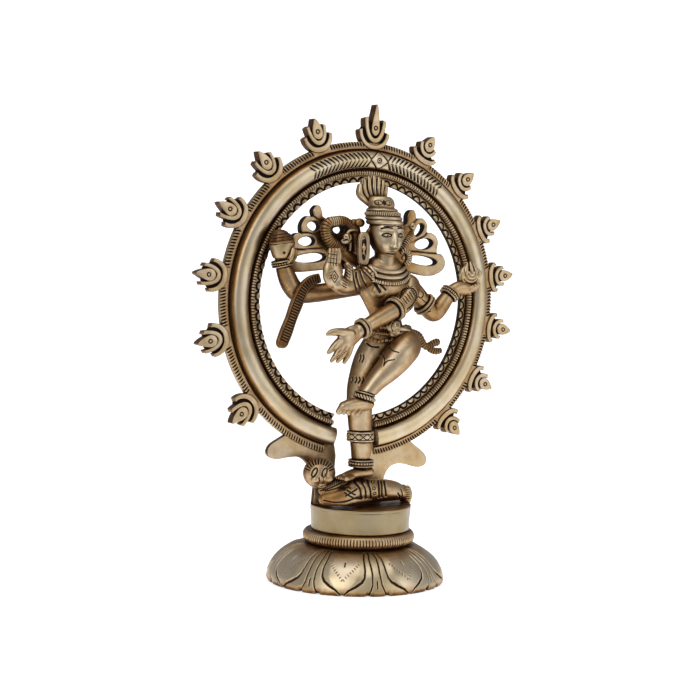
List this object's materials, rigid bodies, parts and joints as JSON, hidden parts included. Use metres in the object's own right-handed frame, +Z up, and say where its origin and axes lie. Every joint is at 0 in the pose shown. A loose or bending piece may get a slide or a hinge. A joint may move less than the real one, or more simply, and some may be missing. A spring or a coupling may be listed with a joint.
{
  "type": "nataraja statue",
  "caption": "Small brass statue of a dancing four-armed figure on a dwarf, inside a ring of flames, standing on a drum and a domed lotus base.",
  "frame": {"origin": "on the floor under the axis of the drum the dancer stands on", "axes": "+Z up, the figure faces -Y, +X is to the right as seen from the front"},
  "size_m": [0.1547, 0.075, 0.2],
  "materials": {
    "antique_brass": "antique satin brass with brown patina and dark grooves",
    "fixing_steel": "plain turned steel"
  },
  "bodies": {
    "root": {"base_lotus": "antique_brass", "base_rope_ring": "antique_brass", "base_drum": "antique_brass", "base_stud": "fixing_steel", "base_washer": "fixing_steel", "base_nut": "fixing_steel", "arch_plate": "antique_brass", "arch_bead": "antique_brass", "arch_rope_band": "antique_brass", "arch_scallop_band": "antique_brass", "flame_top": "antique_brass", "flame_left_1": "antique_brass", "flame_left_2": "antique_brass", "flame_left_3": "antique_brass", "flame_left_4": "antique_brass", "flame_left_5": "antique_brass", "flame_left_6": "antique_brass", "flame_right_1": "antique_brass", "flame_right_2": "antique_brass", "flame_right_3": "antique_brass", "flame_right_4": "antique_brass", "flame_right_5": "antique_brass", "flame_right_6": "antique_brass", "flame_right_7": "antique_brass", "dwarf_body": "antique_brass", "dwarf_head": "antique_brass", "torso": "antique_brass", "hips": "antique_brass", "leg_raised": "antique_brass", "leg_standing": "antique_brass", "head": "antique_brass", "crown": "antique_brass", "crown_feathers": "antique_brass", "necklace": "antique_brass", "arm_front_right": "antique_brass", "arm_front_left": "antique_brass", "arm_rear_right": "antique_brass", "arm_rear_left": "antique_brass", "hand_drum": "antique_brass", "anklet_standing": "antique_brass", "garter_standing": "antique_brass", "anklet_raised": "antique_brass", "bangle_front_left": "antique_brass", "bangle_rear_right": "antique_brass", "bangle_rear_left": "antique_brass", "armlet_front_left": "antique_brass", "armlet_rear_left": "antique_brass", "belt": "antique_brass", "belt_head": "antique_brass", "flame_ball": "antique_brass", "hanging_snake": "antique_brass", "hair_fan_left": "antique_brass", "hair_fan_right": "antique_brass", "hair_curl_left": "antique_brass", "hair_curl_right": "antique_brass", "earring_left": "antique_brass", "earring_right": "antique_brass", "sash_tail": "antique_brass"}
  },
  "joints": []
}
